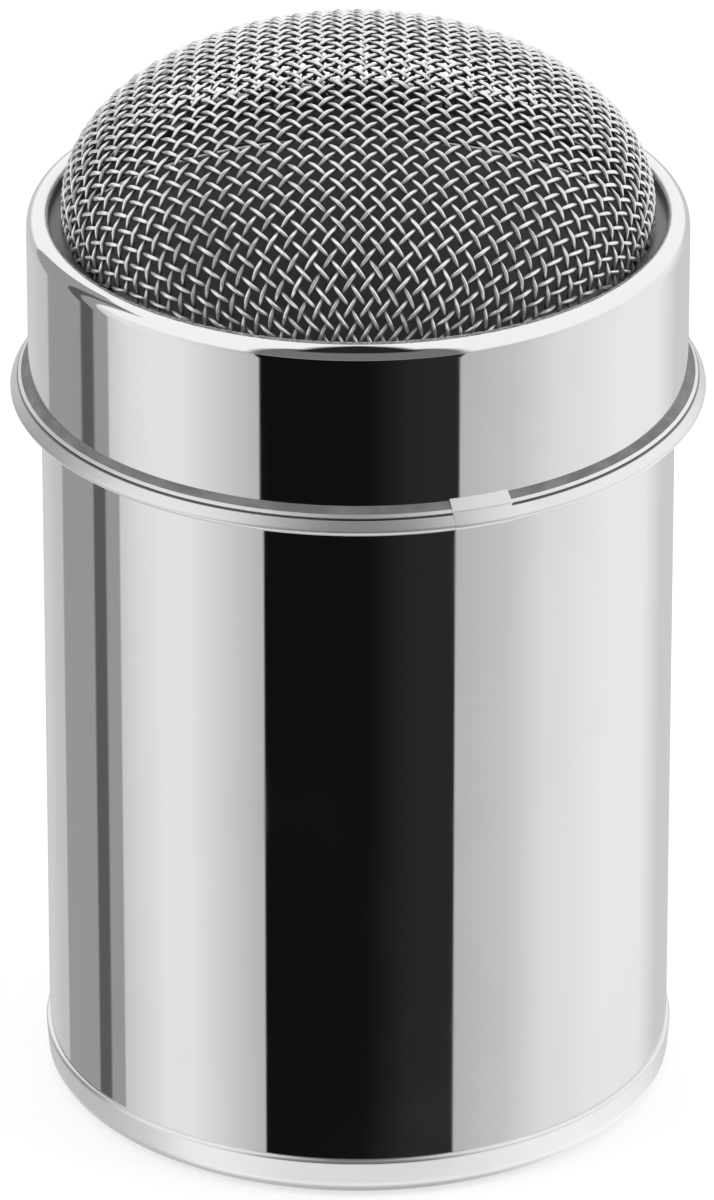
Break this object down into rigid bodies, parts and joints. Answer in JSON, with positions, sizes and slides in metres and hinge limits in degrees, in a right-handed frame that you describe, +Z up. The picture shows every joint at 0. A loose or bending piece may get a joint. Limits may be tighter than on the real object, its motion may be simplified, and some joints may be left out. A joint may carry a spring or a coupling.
{
  "type": "flour shaker",
  "caption": "Round sheet-steel flour and sugar shaker: straight canister with a pull-off lid that holds a dome of woven wire.",
  "frame": {"origin": "centre of the foot ring, on the surface that the shaker stands on", "axes": "+Z up along the shaker's axis; -Y faces the picture's camera; the lap of the lid's bead is at the front, turned 20.9 degrees towards +X"},
  "size_m": [0.0768, 0.0768, 0.1235],
  "materials": {
    "canister_steel": "polished",
    "base_steel": "polished",
    "lid_steel": "polished",
    "band_steel": "polished",
    "wire_cloth": "satin",
    "clamp_ring_steel": "satin"
  },
  "bodies": {
    "canister": {"canister_wall": "canister_steel", "canister_base": "base_steel"},
    "lid": {"lid_collar": "lid_steel", "lid_bead_band": "band_steel", "mesh_dome": "wire_cloth", "mesh_clamp_ring": "clamp_ring_steel"}
  },
  "joints": [
    {"name": "lid_lift", "type": "slide", "parent": "canister", "child": "lid", "axis": [0, 0, 1], "range_m": [0, 0.045]}
  ]
}
